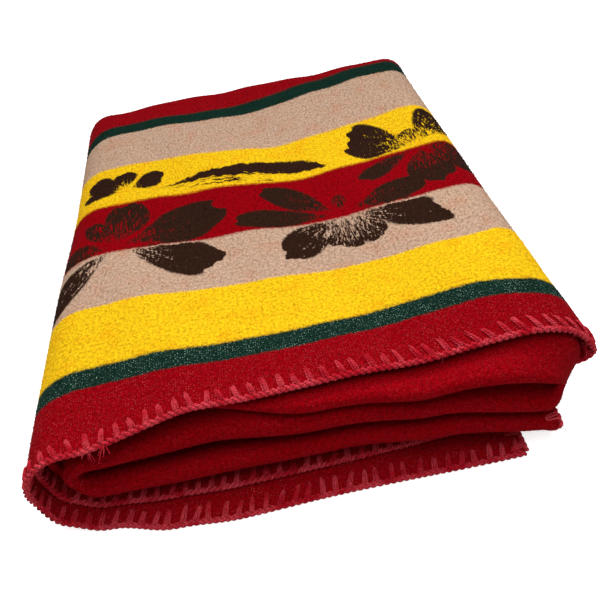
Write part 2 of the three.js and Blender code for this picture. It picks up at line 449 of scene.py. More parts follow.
clear_selection()
stations, rows = SECTION_Y.shape
bpy.ops.mesh.primitive_grid_add(x_subdivisions=stations - 1, y_subdivisions=rows - 1, size=1.0)
blanket = bpy.context.object
blanket.name = "blanket_cloth"
sheet = blanket.data
assert len(sheet.vertices) == stations * rows, "the grid has another number of points"
sheet.vertices.foreach_set("co", POINTS.transpose(1, 0, 2).ravel())
across = np.broadcast_to(WIDTH_AT[:, None], LENGTH_AT.shape)
flat_place = np.stack([across, pulled_length()], axis=-1).transpose(1, 0, 2).reshape(-1, 2)
corner_point = np.empty(len(sheet.loops), dtype=np.int32)
sheet.loops.foreach_get("vertex_index", corner_point)
sheet.uv_layers.active.name = "cloth"
sheet.uv_layers.active.uv.foreach_set("vector", flat_place[corner_point].ravel())
sheet.update()

thick = blanket.modifiers.new("thickness", "SOLIDIFY")
thick.thickness = CLOTH_THICKNESS
thick.offset = 0.0
bpy.ops.object.modifier_apply(modifier=thick.name)
bpy.ops.object.shade_smooth_by_angle(angle=SMOOTH_BELOW)
print("blanket of", len(sheet.polygons), "faces")

# %% [markdown]
# An exported model cannot carry shader nodes, so its looks are baked onto a picture, through a UV map
# of this name. This map spends most of the picture on the outer side, and there on the top and the
# front folds, and gives hidden layers less. The inner side lies turned in a strip above, and the cut
# edge in two narrow ones.

# %% A map for baking
BAKE_MAP = "OFBake"
# metres on the cloth, against places on the picture
BAKE_ACROSS = ((0.0, 0.33, 0.89, 1.64), (0.004, 0.120, 0.840, 0.996))
BAKE_ALONG = ((0.0, 0.46, 0.80, 0.92, 1.67), (0.004, 0.560, 0.640, 0.740, 0.820))
BAKE_INNER = (0.835, 0.950)
BAKE_HEMS = (0.960, 0.972)
BAKE_SIDES = (0.982, 0.994)


def bake_places(mesh):
    """A place for each corner: outer faces come first, then inner ones, then the cut edge."""
    side_points, side_faces = stations * rows, (stations - 1) * (rows - 1)
    corner_point = np.empty(len(mesh.loops), dtype=np.int32)
    mesh.loops.foreach_get("vertex_index", corner_point)
    shell, point = np.divmod(corner_point, side_points)
    row, station = np.divmod(point, stations)
    width, length = WIDTH_AT[station], LENGTH_AT[station, row]
    width_share, length_share = width / BLANKET_WIDTH, length / BLANKET_LENGTH
    places = np.stack([np.interp(width, *BAKE_ACROSS), np.interp(length, *BAKE_ALONG)], axis=-1)
    inner = slice(4 * side_faces, 8 * side_faces)
    places[inner] = np.stack([length_share, mix(*BAKE_INNER, width_share)], axis=-1)[inner]
    cut = slice(8 * side_faces, None)
    on_hem = np.repeat(np.ptp(row[cut].reshape(-1, 4), axis=1) == 0, 4)
    hems = np.stack([width_share[cut], mix(*BAKE_HEMS, shell[cut])], axis=-1)
    sides = np.stack([length_share[cut], mix(*BAKE_SIDES, shell[cut])], axis=-1)
    places[cut] = np.where(on_hem[:, None], hems, sides)
    return places


sheet.uv_layers.new(name=BAKE_MAP).uv.foreach_set("vector", bake_places(sheet).ravel())
print("bake map for", len(sheet.loops), "corners")

# %% [markdown]
# Colours on a woven blanket are dyed yarns, so the pattern changes only from yarn to yarn, and the
# nap brushed up from them blurs every edge by a millimetre or two. The looks below are built from
# shader nodes. These helpers keep each node to one line: put() adds a node, calc() does one sum,
# weighed() adds two values by their shares, rise() eases from 0 to 1 between two values, spread()
# carries one range to another, and tint() lays one colour over another.

# %% Node helpers
def put(tree, kind, inputs=None, **settings):
    made = tree.nodes.new(kind)
    for name, value in settings.items():
        setattr(made, name, value)
    for name, value in (inputs or {}).items():
        if isinstance(value, bpy.types.NodeSocket):
            tree.links.new(value, made.inputs[name])
        else:
            made.inputs[name].default_value = value
    return made


def calc(tree, operation, *values):
    return put(tree, "ShaderNodeMath", dict(enumerate(values)), operation=operation).outputs[0]


def weighed(tree, one, one_share, other, other_share):
    parts = calc(tree, "MULTIPLY", one, one_share), calc(tree, "MULTIPLY", other, other_share)
    return calc(tree, "ADD", *parts)


def rise(tree, value, low, high):
    inputs = {"Value": value, "From Min": low, "From Max": high}
    return put(tree, "ShaderNodeMapRange", inputs, interpolation_type="SMOOTHSTEP").outputs[0]


def spread(tree, value, reach, ends):
    inputs = dict(zip(("From Min", "From Max", "To Min", "To Max"), (*reach, *ends)))
    return put(tree, "ShaderNodeMapRange", {"Value": value, **inputs}).outputs[0]


def tint(tree, share, below, above, way="MIX"):
    inputs = {0: share, 6: below, 7: above}
    return put(tree, "ShaderNodeMix", inputs, data_type="RGBA", blend_type=way).outputs[2]


print("helpers for values and colours ready")

# %% [markdown]
# Patterns need places as well as values. These helpers join and split the axes of a place, read noise
# at it, build a group with named sockets, and start a material. Constants such as the roughness are
# set straight on the shader's own sockets.

# %% Helpers for places, groups and materials
FLOAT = "NodeSocketFloat"
VECTOR = "NodeSocketVector"
COLOUR = "NodeSocketColor"


def xyz(tree, x=0.0, y=0.0, z=0.0):
    return put(tree, "ShaderNodeCombineXYZ", {0: x, 1: y, 2: z}).outputs[0]


def axes_of(tree, place):
    return put(tree, "ShaderNodeSeparateXYZ", {0: place}).outputs


def noise(tree, place, scale, detail=2.0, output=0, rough=0.6):
    inputs = {"Vector": place, "Scale": scale, "Detail": detail, "Roughness": rough}
    return put(tree, "ShaderNodeTexNoise", inputs).outputs[output]


def stretched(tree, along, along_scale, beyond, beyond_scale):
    """Noise that is drawn out along one axis, or along both by different shares."""
    scaled = calc(tree, "MULTIPLY", along, along_scale), calc(tree, "MULTIPLY", beyond, beyond_scale)
    return noise(tree, xyz(tree, *scaled), 1.0)


def new_group(name, inputs, outputs):
    group = bpy.data.node_groups.new(name, "ShaderNodeTree")
    for way, sockets in (("INPUT", inputs), ("OUTPUT", outputs)):
        for socket, kind in sockets.items():
            group.interface.new_socket(socket, in_out=way, socket_type=kind)
    first, last = group.nodes.new("NodeGroupInput"), group.nodes.new("NodeGroupOutput")
    return group, first.outputs, last.inputs


def use_group(tree, group, inputs):
    return put(tree, "ShaderNodeGroup", inputs, node_tree=group).outputs


def new_material(name):
    made = bpy.data.materials.new(name)
    made.use_nodes = True
    return made, made.node_tree, made.node_tree.nodes["Principled BSDF"]


def set_finish(surface, values):
    for name, value in values.items():
        surface.inputs[name].default_value = value


print("helpers for patterns ready")

# %% [markdown]
# Brushed wool looks like short clumps lying in all directions. Two sizes of noise make the clumps,
# and their height feeds a bump. The same height lightens the dye on high clumps and darkens it in
# the hollows between them, which is painted shade. A third, broad noise gives the patches where the
# dye has faded. Cloth and yarn share this group, each with its own clump size.

# %% Brushed nap, shared by the cloth and the yarn
FIBRE_SCALE = 2.7
PATCH_SCALE = 0.12
PATCH_DETAIL = 4.0
CLUMP_ROUGH = 0.55
CLUMP_SHARE, FIBRE_SHARE = 0.6, 0.4
MOTTLE_ENDS = (0.36, 0.64)
BLUSH_ENDS = (0.48, 0.70)

nap, nap_in, nap_out = new_group(
    "brushed nap",
    {"Place": VECTOR, "Clumps": FLOAT},
    {"Height": FLOAT, "Shade in hollows": FLOAT, "Blush": FLOAT},
)
clump_scale = nap_in["Clumps"]
fine_scale = calc(nap, "MULTIPLY", clump_scale, FIBRE_SCALE)
broad_scale = calc(nap, "MULTIPLY", clump_scale, PATCH_SCALE)
clumps = noise(nap, nap_in["Place"], clump_scale, rough=CLUMP_ROUGH)
fibres = noise(nap, nap_in["Place"], fine_scale)
faded = noise(nap, nap_in["Place"], broad_scale, PATCH_DETAIL)
height = weighed(nap, clumps, CLUMP_SHARE, fibres, FIBRE_SHARE)
nap.links.new(height, nap_out["Height"])
# painted shade: the dye is darker where the clumps are low and lighter on top of them
nap.links.new(rise(nap, height, *MOTTLE_ENDS), nap_out["Shade in hollows"])
nap.links.new(rise(nap, faded, *BLUSH_ENDS), nap_out["Blush"])
print("group", nap.name)

# %% [markdown]
# A petal is easiest to draw along its own axis: turn the place so that the axis lies along x, then
# ask whether the distance to the axis is less than the petal's half width there. A Float Curve gives
# that width, thin at the throat and broad near the end, and a little noise ruffles the end. The group
# puts out how far inside the petal a place is, so several petals join with a plain maximum.

# %% One petal
# share of the length, share of the half width
PETAL_WIDTHS = [
    (0.0, 0.03), (0.14, 0.16), (0.34, 0.58), (0.54, 0.92),
    (0.72, 1.0), (0.87, 0.86), (0.95, 0.60), (1.0, 0.0),
]
RUFFLE = 0.42
RUFFLE_SCALE = 60.0

petal, petal_in, petal_out = new_group(
    "petal",
    {"Place": VECTOR, "Turn": FLOAT, "Length": FLOAT, "Half width": FLOAT},
    {"Inside": FLOAT},
)
turn_back = calc(petal, "MULTIPLY", petal_in["Turn"], -1.0)
turned = {"Vector": petal_in["Place"], "Angle": turn_back}
turned = put(petal, "ShaderNodeVectorRotate", turned, rotation_type="Z_AXIS").outputs[0]
axis_along, axis_beside, _ = axes_of(petal, turned)
ruffle_place = xyz(petal, axis_beside, petal_in["Turn"])
waver = calc(petal, "SUBTRACT", noise(petal, ruffle_place, RUFFLE_SCALE, 1.0), 0.5)
ruffled = calc(petal, "ADD", calc(petal, "MULTIPLY", waver, RUFFLE), 1.0)
share_out = calc(petal, "MULTIPLY", calc(petal, "DIVIDE", axis_along, petal_in["Length"]), ruffled)
widths = put(petal, "ShaderNodeFloatCurve", {"Value": share_out})
curve = widths.mapping.curves[0]
curve.points[0].location = PETAL_WIDTHS[0]
for at, width in PETAL_WIDTHS[1:-1]:
    curve.points.new(at, width)
curve.points[len(curve.points) - 1].location = PETAL_WIDTHS[-1]
widths.mapping.update()
half_width = calc(petal, "MULTIPLY", widths.outputs[0], petal_in["Half width"])
inside = calc(petal, "SUBTRACT", half_width, calc(petal, "ABSOLUTE", axis_beside))
petal.links.new(inside, petal_out["Inside"])
print("group", petal.name, "with", len(curve.points), "points on its width curve")

# %% [markdown]
# The motifs are plain garden flowers with loose petals, a bud and a long leaf, woven in brown. Each
# petal below has the way it points, its length and its half width. These were set petal by petal, to
# lie and reach about as in the photograph. The outlines are not copied from it: all petals share the
# one width curve, and the noise ruffles them.

# %% The flowers, bud and leaf as petals
# centre across the cloth, centre from the hem, how far the pale throat reaches
MOTIFS = {
    "left flower": (0.492, 0.194, 0.080),
    "right flower": (0.708, 0.193, 0.074),
    "back flower": (0.806, 0.258, 0.066),
    "bud": (0.497, 0.275, 0.020),
    "leaf": (0.508, 0.261, 0.0),
}
# way in degrees, length and half width of each petal
PETALS = {
    "left flower": [
        (78, 0.058, 0.0250), (17, 0.103, 0.0260), (174, 0.060, 0.0140), (128, 0.050, 0.0120),
        (219, 0.090, 0.0200), (339, 0.101, 0.0240),
    ],
    "right flower": [
        (144, 0.086, 0.0165), (173, 0.100, 0.0145), (11, 0.086, 0.0155), (92, 0.026, 0.0090),
        (213, 0.074, 0.0210), (262, 0.044, 0.0220), (304, 0.050, 0.0160), (341, 0.095, 0.0210),
    ],
    "back flower": [
        (152, 0.076, 0.0270), (50, 0.060, 0.0210), (102, 0.027, 0.0130), (203, 0.072, 0.0120),
        (268, 0.057, 0.0240), (322, 0.066, 0.0220),
    ],
    "bud": [(155, 0.045, 0.0150), (20, 0.042, 0.0140), (180, 0.047, 0.0080), (98, 0.026, 0.0150)],
    "leaf": [(3, 0.197, 0.0125), (-5, 0.146, 0.0066)],
}
PATTERN_REPEAT = 0.426
EDGE_START = 0.0006
EDGE_BLUR = 0.0028


def petals_of(tree, motif, along, beyond):
    """How much of a place the petals of one motif cover, from 0 to 1."""
    place = xyz(tree, along, beyond)
    inside = None
    for way, length, half_width in PETALS[motif]:
        sizes = {"Turn": math.radians(way), "Length": length, "Half width": half_width}
        made = use_group(tree, petal, {"Place": place, **sizes})["Inside"]
        inside = made if inside is None else calc(tree, "MAXIMUM", inside, made)
    return rise(tree, inside, EDGE_START, EDGE_START + EDGE_BLUR)


print({motif: len(petals) for motif, petals in PETALS.items()}, "petals")

# %% [markdown]
# Towards a flower's throat the ground shows between the brown threads, in streaks. Some radiate from
# the centre and some follow the weave, so the two noises are drawn out each way. A limit that rises
# with the distance from the centre closes the streaks further out.

# %% Pale throats of the flowers
SPOKES = 30.0
SPOKE_RINGS = 45.0
THREAD_ACROSS = 560.0
THREAD_ALONG = 120.0
THROAT_START = 0.006
THROAT_LIMITS = (0.445, 0.66)
THROAT_BLUR = 0.05


def throat_ground(tree, along, beyond, throat):
    """How much of the ground shows between the threads of a flower."""
    away = calc(tree, "SQRT", weighed(tree, along, along, beyond, beyond))
    way_round = calc(tree, "ARCTAN2", beyond, along)
    spokes = stretched(tree, way_round, SPOKES, away, SPOKE_RINGS)
    threads = stretched(tree, along, THREAD_ACROSS, beyond, THREAD_ALONG)
    streaks = weighed(tree, spokes, 0.5, threads, 0.5)
    limit = spread(tree, away, (THROAT_START, throat), THROAT_LIMITS)
    return rise(tree, calc(tree, "SUBTRACT", streaks, limit), 0.0, THROAT_BLUR)


print("throats reach", [throat for _, _, throat in MOTIFS.values()])

# %% [markdown]
# The leaf lies in a shallow arch with a notched rim, and its lower half is only veins. Bending the
# place before the petals are read is simpler than bending the petals. The veins are one more noise,
# drawn out along the leaf.

# %% Arch and veins of the leaf
LEAF_ARCH = 0.013
LEAF_LENGTH = 0.195
LEAF_NOTCH = 0.0085
NOTCH_SCALE = 95.0
VEIN_ALONG = 45.0
VEIN_ACROSS = 420.0
VEIN_REACH = (-0.004, 0.008)
VEIN_LIMITS = (0.44, 0.80)
VEIN_BLUR = 0.06


def bent_leaf(tree, along, beyond):
    """The distance beyond the leaf's arched and notched axis."""
    share = calc(tree, "DIVIDE", along, LEAF_LENGTH)
    arch = calc(tree, "MULTIPLY", share, calc(tree, "SUBTRACT", 1.0, share))
    notch = calc(tree, "SUBTRACT", noise(tree, xyz(tree, along), NOTCH_SCALE, 1.0), 0.5)
    arched = calc(tree, "SUBTRACT", beyond, calc(tree, "MULTIPLY", arch, 4 * LEAF_ARCH))
    return calc(tree, "ADD", arched, calc(tree, "MULTIPLY", notch, LEAF_NOTCH))


def vein_ground(tree, along, beyond):
    """How much of the ground shows between the veins of the leaf."""
    veins = stretched(tree, along, VEIN_ALONG, beyond, VEIN_ACROSS)
    limit = spread(tree, beyond, VEIN_REACH, VEIN_LIMITS)
    return rise(tree, calc(tree, "SUBTRACT", veins, limit), 0.0, VEIN_BLUR)


print("leaf", LEAF_LENGTH, "m long")

# %% [markdown]
# The motifs repeat across the cloth. A Wrap sum turns the place into the distance from the nearest
# copy, so one set of petals serves the whole width.

# %% All the motifs in one group
flowers, flowers_in, flowers_out = new_group("woven flowers", {"Place": VECTOR}, {"Motif": FLOAT})
place_across, place_beyond, _ = axes_of(flowers, flowers_in["Place"])
woven = 0.0
for motif, (centre_across, centre_length, throat) in MOTIFS.items():
    along = calc(flowers, "SUBTRACT", place_across, centre_across)
    along = calc(flowers, "WRAP", along, PATTERN_REPEAT / 2, -PATTERN_REPEAT / 2)
    beyond = calc(flowers, "SUBTRACT", place_beyond, centre_length)
    if motif == "leaf":
        beyond = bent_leaf(flowers, along, beyond)
        ground = vein_ground(flowers, along, beyond)
    else:
        ground = throat_ground(flowers, along, beyond, throat)
    covered = petals_of(flowers, motif, along, beyond)
    brown = calc(flowers, "MULTIPLY", covered, calc(flowers, "SUBTRACT", 1.0, ground))
    woven = calc(flowers, "MAXIMUM", woven, brown)
flowers.links.new(woven, flowers_out["Motif"])
print("group", flowers.name, "with", len(flowers.nodes), "nodes")

# %% [markdown]
# Along its length the blanket is banded, and the bands run the same way from both hems. So the shader
# works with the distance from the nearer hem. A Color Ramp is one row of bands. It has two stops at each
# edge, because the nap blurs one dye into the next over a millimetre or two.

# %% Bands of dyed wool
WOOL = {
    "red": linear(146, 2, 14),
    "green": linear(18, 46, 37),
    "yellow": linear(248, 199, 24),
    "beige": linear(198, 164, 140),
    "brown": linear(49, 29, 20),
}
# dye, distance of the band's near edge from the hem
BANDS = [
    ("red", 0.000),
    ("green", 0.046),
    ("yellow", 0.064),
    ("beige", 0.126),
    ("red", 0.188),
    ("yellow", 0.256),
    ("beige", 0.314),
    ("green", 0.376),
    ("red", 0.395),
]
BAND_SPAN = 0.5
BAND_BLUR = 0.0008
HEM_BORDER = BANDS[2][1]
FLOWER_BAND = (BANDS[4][1], BANDS[5][1])
PLAIN_MIDDLE = BANDS[8][1]

bands, bands_in, bands_out = new_group("woven bands", {"From hem": FLOAT}, {"Dye": COLOUR})
ramp = put(bands, "ShaderNodeValToRGB", {0: calc(bands, "DIVIDE", bands_in["From hem"], BAND_SPAN)})
stops = ramp.color_ramp.elements
stops.remove(stops[1])
stops[0].color = WOOL[BANDS[0][0]]
for (dye_before, _), (dye, edge) in zip(BANDS, BANDS[1:]):
    stops.new((edge - BAND_BLUR) / BAND_SPAN).color = WOOL[dye_before]
    stops.new((edge + BAND_BLUR) / BAND_SPAN).color = WOOL[dye]
bands.links.new(ramp.outputs[0], bands_out["Dye"])
print("group", bands.name, "with", len(BANDS), "bands")

# %% [markdown]
# Now the cloth itself. The flat place from the UV map is shaken a little before the bands and flowers
# are read, which frays their edges as the nap does. Beside the flowers' red band a thin line of ground
# stays free, because the weaver's brown threads stop there.

# %% Dyes and flowers of the cloth
# size of the noise that shakes a place, and how far
EDGE_FRAY = (480.0, 0.0046)
FLOWER_FRAY = (420.0, 0.0042)
FRAY_DETAIL = 3.0
EDGE_GAP = 0.0016
GAP_SCALE = 90.0
GAP_ENDS = (0.40, 0.62)
GAP_BLUR = 0.0009

wool, tree, surface = new_material("blanket_wool")
cloth_place = put(tree, "ShaderNodeUVMap", uv_map="cloth").outputs[0]


def vector(operation, one, inputs):
    return put(tree, "ShaderNodeVectorMath", {0: one, **inputs}, operation=operation).outputs[0]


def shaken(scale, reach):
    jolt = noise(tree, cloth_place, scale, FRAY_DETAIL, output=1)
    moved = vector("SCALE", vector("SUBTRACT", jolt, {1: (0.5, 0.5, 0.5)}), {"Scale": reach})
    return vector("ADD", cloth_place, {1: moved})


def nearer_hem(place):
    length = axes_of(tree, place)[1]
    return calc(tree, "MINIMUM", length, calc(tree, "SUBTRACT", BLANKET_LENGTH, length))


from_hem = nearer_hem(shaken(*EDGE_FRAY))
dye = use_group(tree, bands, {"From hem": from_hem})["Dye"]
frayed = shaken(*FLOWER_FRAY)
flower_place = xyz(tree, axes_of(tree, frayed)[0], nearer_hem(frayed))
motif = use_group(tree, flowers, {"Place": flower_place})["Motif"]
to_edges = [calc(tree, "ABSOLUTE", calc(tree, "SUBTRACT", from_hem, edge)) for edge in FLOWER_BAND]
gap_width = rise(tree, noise(tree, cloth_place, GAP_SCALE), *GAP_ENDS)
gap_width = calc(tree, "MULTIPLY", gap_width, EDGE_GAP)
beside_edge = calc(tree, "SUBTRACT", calc(tree, "MINIMUM", *to_edges), gap_width)
motif = calc(tree, "MULTIPLY", motif, rise(tree, beside_edge, 0.0, GAP_BLUR))
print("dyes and flowers in", len(tree.nodes), "nodes")

# %% [markdown]
# The nap darkens the dye in the hollows between its clumps and lightens it on top, which is painted
# shade, and the dye fades in patches. Every fibre end, made further down, carries a tone of its own,
# which is nought on the cloth. Where the nap is short, near the hem and faintly on the red middle,
# pale threads of the ground weave show as specks. A flat Voronoi texture gives one speck for each of
# its cells, brighter in some than in others, and a broad noise gathers them in patches.

# %% Painted nap shade, tones and specks of the cloth
NAP_CLUMPS = 430.0
FADED = (1.0, 0.86, 0.80, 1.0)
MOTTLE_SHADE = (0.66, 1.20)
SPECK_SCALE = 560.0
SPECK_RANDOMNESS = 0.8
SPECK_SIZE = 0.22
SPECK_FALL = 2.0
SPECKS_NEAR_HEM = 0.9
SPECKS_IN_MIDDLE = 0.35
GATHER_SCALE = 55.0
GATHER_ENDS = (0.35, 0.65)
GATHER_SHARE = (0.35, 1.0)
RED_ENDS = (0.05, 0.20)
RED_SHARE = (1.0, 0.55)
SPECK_ON_GREEN = linear(160, 190, 172)
SPECK_ON_RED = linear(226, 104, 108)
NO_TONE = 0.0001

brushed = use_group(tree, nap, {"Place": cloth_place, "Clumps": NAP_CLUMPS})
blushed = tint(tree, brushed["Blush"], dye, tint(tree, 1.0, dye, FADED, "MULTIPLY"))
patterned = tint(tree, motif, blushed, WOOL["brown"])
own_tone = put(tree, "ShaderNodeAttribute", attribute_name="tone").outputs["Fac"]
# painted shade: low clumps of the nap darken the dye and high ones lighten it, and each fibre end adds its
# own tone
shade = calc(tree, "ADD", spread(tree, brushed["Shade in hollows"], (0.0, 1.0), MOTTLE_SHADE), own_tone)
shaded_and_toned = tint(tree, 1.0, patterned, xyz(tree, shade, shade, shade), "MULTIPLY")

scatter = {"Vector": cloth_place, "Scale": SPECK_SCALE, "Randomness": SPECK_RANDOMNESS}
cells = put(tree, "ShaderNodeTexVoronoi", scatter, voronoi_dimensions="2D").outputs
speck = calc(tree, "LESS_THAN", cells["Distance"], SPECK_SIZE)
bright = calc(tree, "POWER", axes_of(tree, cells["Color"])[0], SPECK_FALL)
gathered = spread(tree, noise(tree, cloth_place, GATHER_SCALE), GATHER_ENDS, GATHER_SHARE)
near_hem = calc(tree, "LESS_THAN", from_hem, HEM_BORDER)
in_middle = calc(tree, "GREATER_THAN", from_hem, PLAIN_MIDDLE)
plain = weighed(tree, near_hem, SPECKS_NEAR_HEM, in_middle, SPECKS_IN_MIDDLE)
on_cloth = calc(tree, "COMPARE", own_tone, 0.0, NO_TONE)
on_red = rise(tree, put(tree, "ShaderNodeSeparateColor", {0: dye}).outputs[0], *RED_ENDS)
specks = calc(tree, "MULTIPLY", speck, plain)
for share in (bright, gathered, spread(tree, on_red, (0.0, 1.0), RED_SHARE), on_cloth):
    specks = calc(tree, "MULTIPLY", specks, share)
speck_dye = tint(tree, on_red, SPECK_ON_GREEN, SPECK_ON_RED)
tree.links.new(tint(tree, specks, shaded_and_toned, speck_dye), surface.inputs["Base Color"])
print("colours in", len(tree.nodes), "nodes")

# %% [markdown]
# Wool scatters light from its fibre ends, so the shader has a trace of sheen and hardly any gloss. The
# nap's height becomes a shallow bump.

# %% Finish of the cloth
NAP_STRENGTH = 0.25
NAP_DEPTH = 0.0014

relief = {"Height": brushed["Height"], "Strength": NAP_STRENGTH, "Distance": NAP_DEPTH}
tree.links.new(put(tree, "ShaderNodeBump", relief).outputs[0], surface.inputs["Normal"])
set_finish(surface, {
    "Roughness": 0.95,
    "Specular IOR Level": 0.02,
    "Sheen Weight": 0.006,
    "Sheen Roughness": 0.45,
})
blanket.data.materials.clear()
blanket.data.materials.append(wool)
print("material", wool.name, "with", len(tree.nodes), "nodes")

# %% [markdown]
# The nap is brushed up from the cloth, so its fibre ends stand out from every fold and soften the
# outline. Faces that lie against another layer need none, so a face is used only if a ray from it can
# leave the pile, straight out or turned to the front or upwards.

# %% Faces that lie open
FIBRE_LENGTH = (0.0007, 0.0025)
OPEN_WAY = 0.12
RAY_START = 0.0002
WAYS_OUT = np.array([(0.0, 0.0, 0.0), (0.0, -1.5, 0.0), (0.0, 0.0, 1.5), (0.0, -1.0, 1.5)])


def face_table(mesh):
    """Corner points, corner places on the flat cloth, normals and areas of a mesh of quads."""
    count = len(mesh.polygons)

    def read(items, name, width, kind=float):
        found = np.empty(len(items) * width, dtype=kind)
        items.foreach_get(name, found)
        return found

    corners = read(mesh.polygons, "vertices", 4, np.int32)
    points = read(mesh.vertices, "co", 3).reshape(-1, 3)[corners].reshape(count, 4, 3)
    flat = read(mesh.uv_layers["cloth"].uv, "vector", 2).reshape(count, 4, 2)
    normals = read(mesh.polygons, "normal", 3).reshape(count, 3)
    return points, flat, normals, read(mesh.polygons, "area", 1)


def open_faces(mesh, corner_points, normals):
    """True for each face from which at least one way leads out of the pile."""
    points = [tuple(vertex.co) for vertex in mesh.vertices]
    pile = BVHTree.FromPolygons(points, [tuple(face.vertices) for face in mesh.polygons])
    starts = corner_points.mean(axis=1) + normals * RAY_START
    ways = unit(normals[:, None] + WAYS_OUT)
    found = np.zeros(len(starts), dtype=bool)
    for face, start in enumerate(starts):
        free = (pile.ray_cast(Vector(start), Vector(way), OPEN_WAY)[0] is None for way in ways[face])
        found[face] = any(free)
    return found & ((starts[:, 2] > FIBRE_LENGTH[1]) | (normals[:, 2] > 0))


corner_points, corner_flat, face_normals, face_areas = face_table(blanket.data)
is_open = open_faces(blanket.data, corner_points, face_normals)
print("open faces", int(is_open.sum()), "of", len(is_open))

# %% [markdown]
# A fibre end is a tiny three-sided spike. All the spikes are one mesh. Each carries its root's place on
# the flat cloth, so it takes that dye, and a tone of its own. For the bake, each has a cell of the
# picture, and the cells lie in rows of like distance from the hem, so that neighbours have like dyes.

# %% Spikes
FIBRE_WIDTH = 0.00050
FIBRE_TONE = (-0.12, 0.34)
SPIKE_TWIST = 0.3
SPIKE_FACES = np.array([(0, 1, 3), (1, 2, 3), (2, 0, 3), (2, 1, 0)])
CELL_SPOTS = np.array([(0.1, 0.1), (0.9, 0.1), (0.5, 0.9), (0.5, 0.4)])


def bake_cells(flat, cells):
    """The lower left corner of each fibre's cell."""
    from_hem = np.minimum(flat[:, 1], BLANKET_LENGTH - flat[:, 1])
    rank = np.empty(len(flat), dtype=int)
    rank[np.argsort(from_hem)] = np.arange(len(flat))
    rank[np.lexsort((flat[:, 0], rank // cells))] = np.arange(len(flat))
    return np.stack([rank % cells, rank // cells], axis=-1) / cells


def spike_mesh(name, roots, tips, normals, flat):
    """Three-sided spikes: a small triangle at each root and a point at each tip."""
    count = len(roots)
    way = unit(tips - roots)
    side = unit(np.cross(way, normals + random.normal(0, SPIKE_TWIST, (count, 3))))
    other = np.cross(way, side)
    angle = 2 * math.pi * np.arange(3) / 3
    ring = np.cos(angle)[:, None] * side[:, None] + np.sin(angle)[:, None] * other[:, None]
    points = np.concatenate([roots[:, None] + ring * FIBRE_WIDTH / 2, tips[:, None]], axis=1)
    faces = (4 * np.arange(count)[:, None, None] + SPIKE_FACES).reshape(-1, 3)
    mesh = bpy.data.meshes.new(name)
    mesh.from_pydata(points.reshape(-1, 3), [], faces)
    corners = SPIKE_FACES.size
    mesh.uv_layers.new(name="cloth").uv.foreach_set("vector", np.repeat(flat, corners, axis=0).ravel())
    cells = math.ceil(math.sqrt(count))
    spots = bake_cells(flat, cells)[:, None] + CELL_SPOTS[SPIKE_FACES.ravel()] / cells
    mesh.uv_layers.new(name=BAKE_MAP).uv.foreach_set("vector", spots.ravel())
    tones = np.repeat(random.uniform(*FIBRE_TONE, count), 4)
    mesh.attributes.new("tone", "FLOAT", "POINT").data.foreach_set("value", tones)
    piece = bpy.data.objects.new(name, mesh)
    bpy.context.scene.collection.objects.link(piece)
    return piece


print("a spike has", len(SPIKE_FACES), "faces")

# %% [markdown]
# The fibres are scattered over the open faces by area, at a random place in each face. Most are short
# and a few are long, and they lean every way. Their tips stay above the floor.

# %% Fibre ends of the nap
FIBRE_COUNT = 42000
FIBRE_LEAN = 1.0

chance = face_areas * is_open
picked = random.choice(len(chance), FIBRE_COUNT, p=chance / chance.sum())
one_way, other_way = random.random((2, FIBRE_COUNT, 1))


def within(corners):
    near_side = mix(corners[:, 0], corners[:, 1], one_way)
    far_side = mix(corners[:, 3], corners[:, 2], one_way)
    return mix(near_side, far_side, other_way)


roots = within(corner_points[picked])
lean = FIBRE_LEAN * random.normal(0, 1, (FIBRE_COUNT, 3)) / math.sqrt(3)
lengths = mix(*FIBRE_LENGTH, random.random((FIBRE_COUNT, 1)) ** 2)
tips = roots + unit(face_normals[picked] + lean) * lengths
tips[:, 2] = np.maximum(tips[:, 2], FIBRE_WIDTH)
nap_ends = spike_mesh("blanket_nap", roots, tips, face_normals[picked], within(corner_flat[picked]))
nap_ends.data.materials.append(wool)
print(nap_ends.name, len(nap_ends.data.polygons), "faces")

# %% [markdown]
# The hem is closed by blanket stitch in thick pink-red yarn. Each stitch has a leg that stands in from
# the edge on both faces, and a chain that lies along the edge and ties the legs together. Both follow
# the folded cloth, so every stitch is placed by two numbers: how far along the edge and how far in.

# %% The four edges of the cloth
EDGE_ROWS = 9


def edge_grids():
    """Each edge as points along it and inwards from it, with the sign of the cloth's face."""
    return {
        "cover hem": (POINTS[:, :EDGE_ROWS], 1.0),
        "inner hem": (POINTS[:, ::-1][:, :EDGE_ROWS], -1.0),
        "bottom side": (POINTS[:EDGE_ROWS].transpose(1, 0, 2), -1.0),
        "upper side": (POINTS[::-1][:EDGE_ROWS].transpose(1, 0, 2), 1.0),
    }


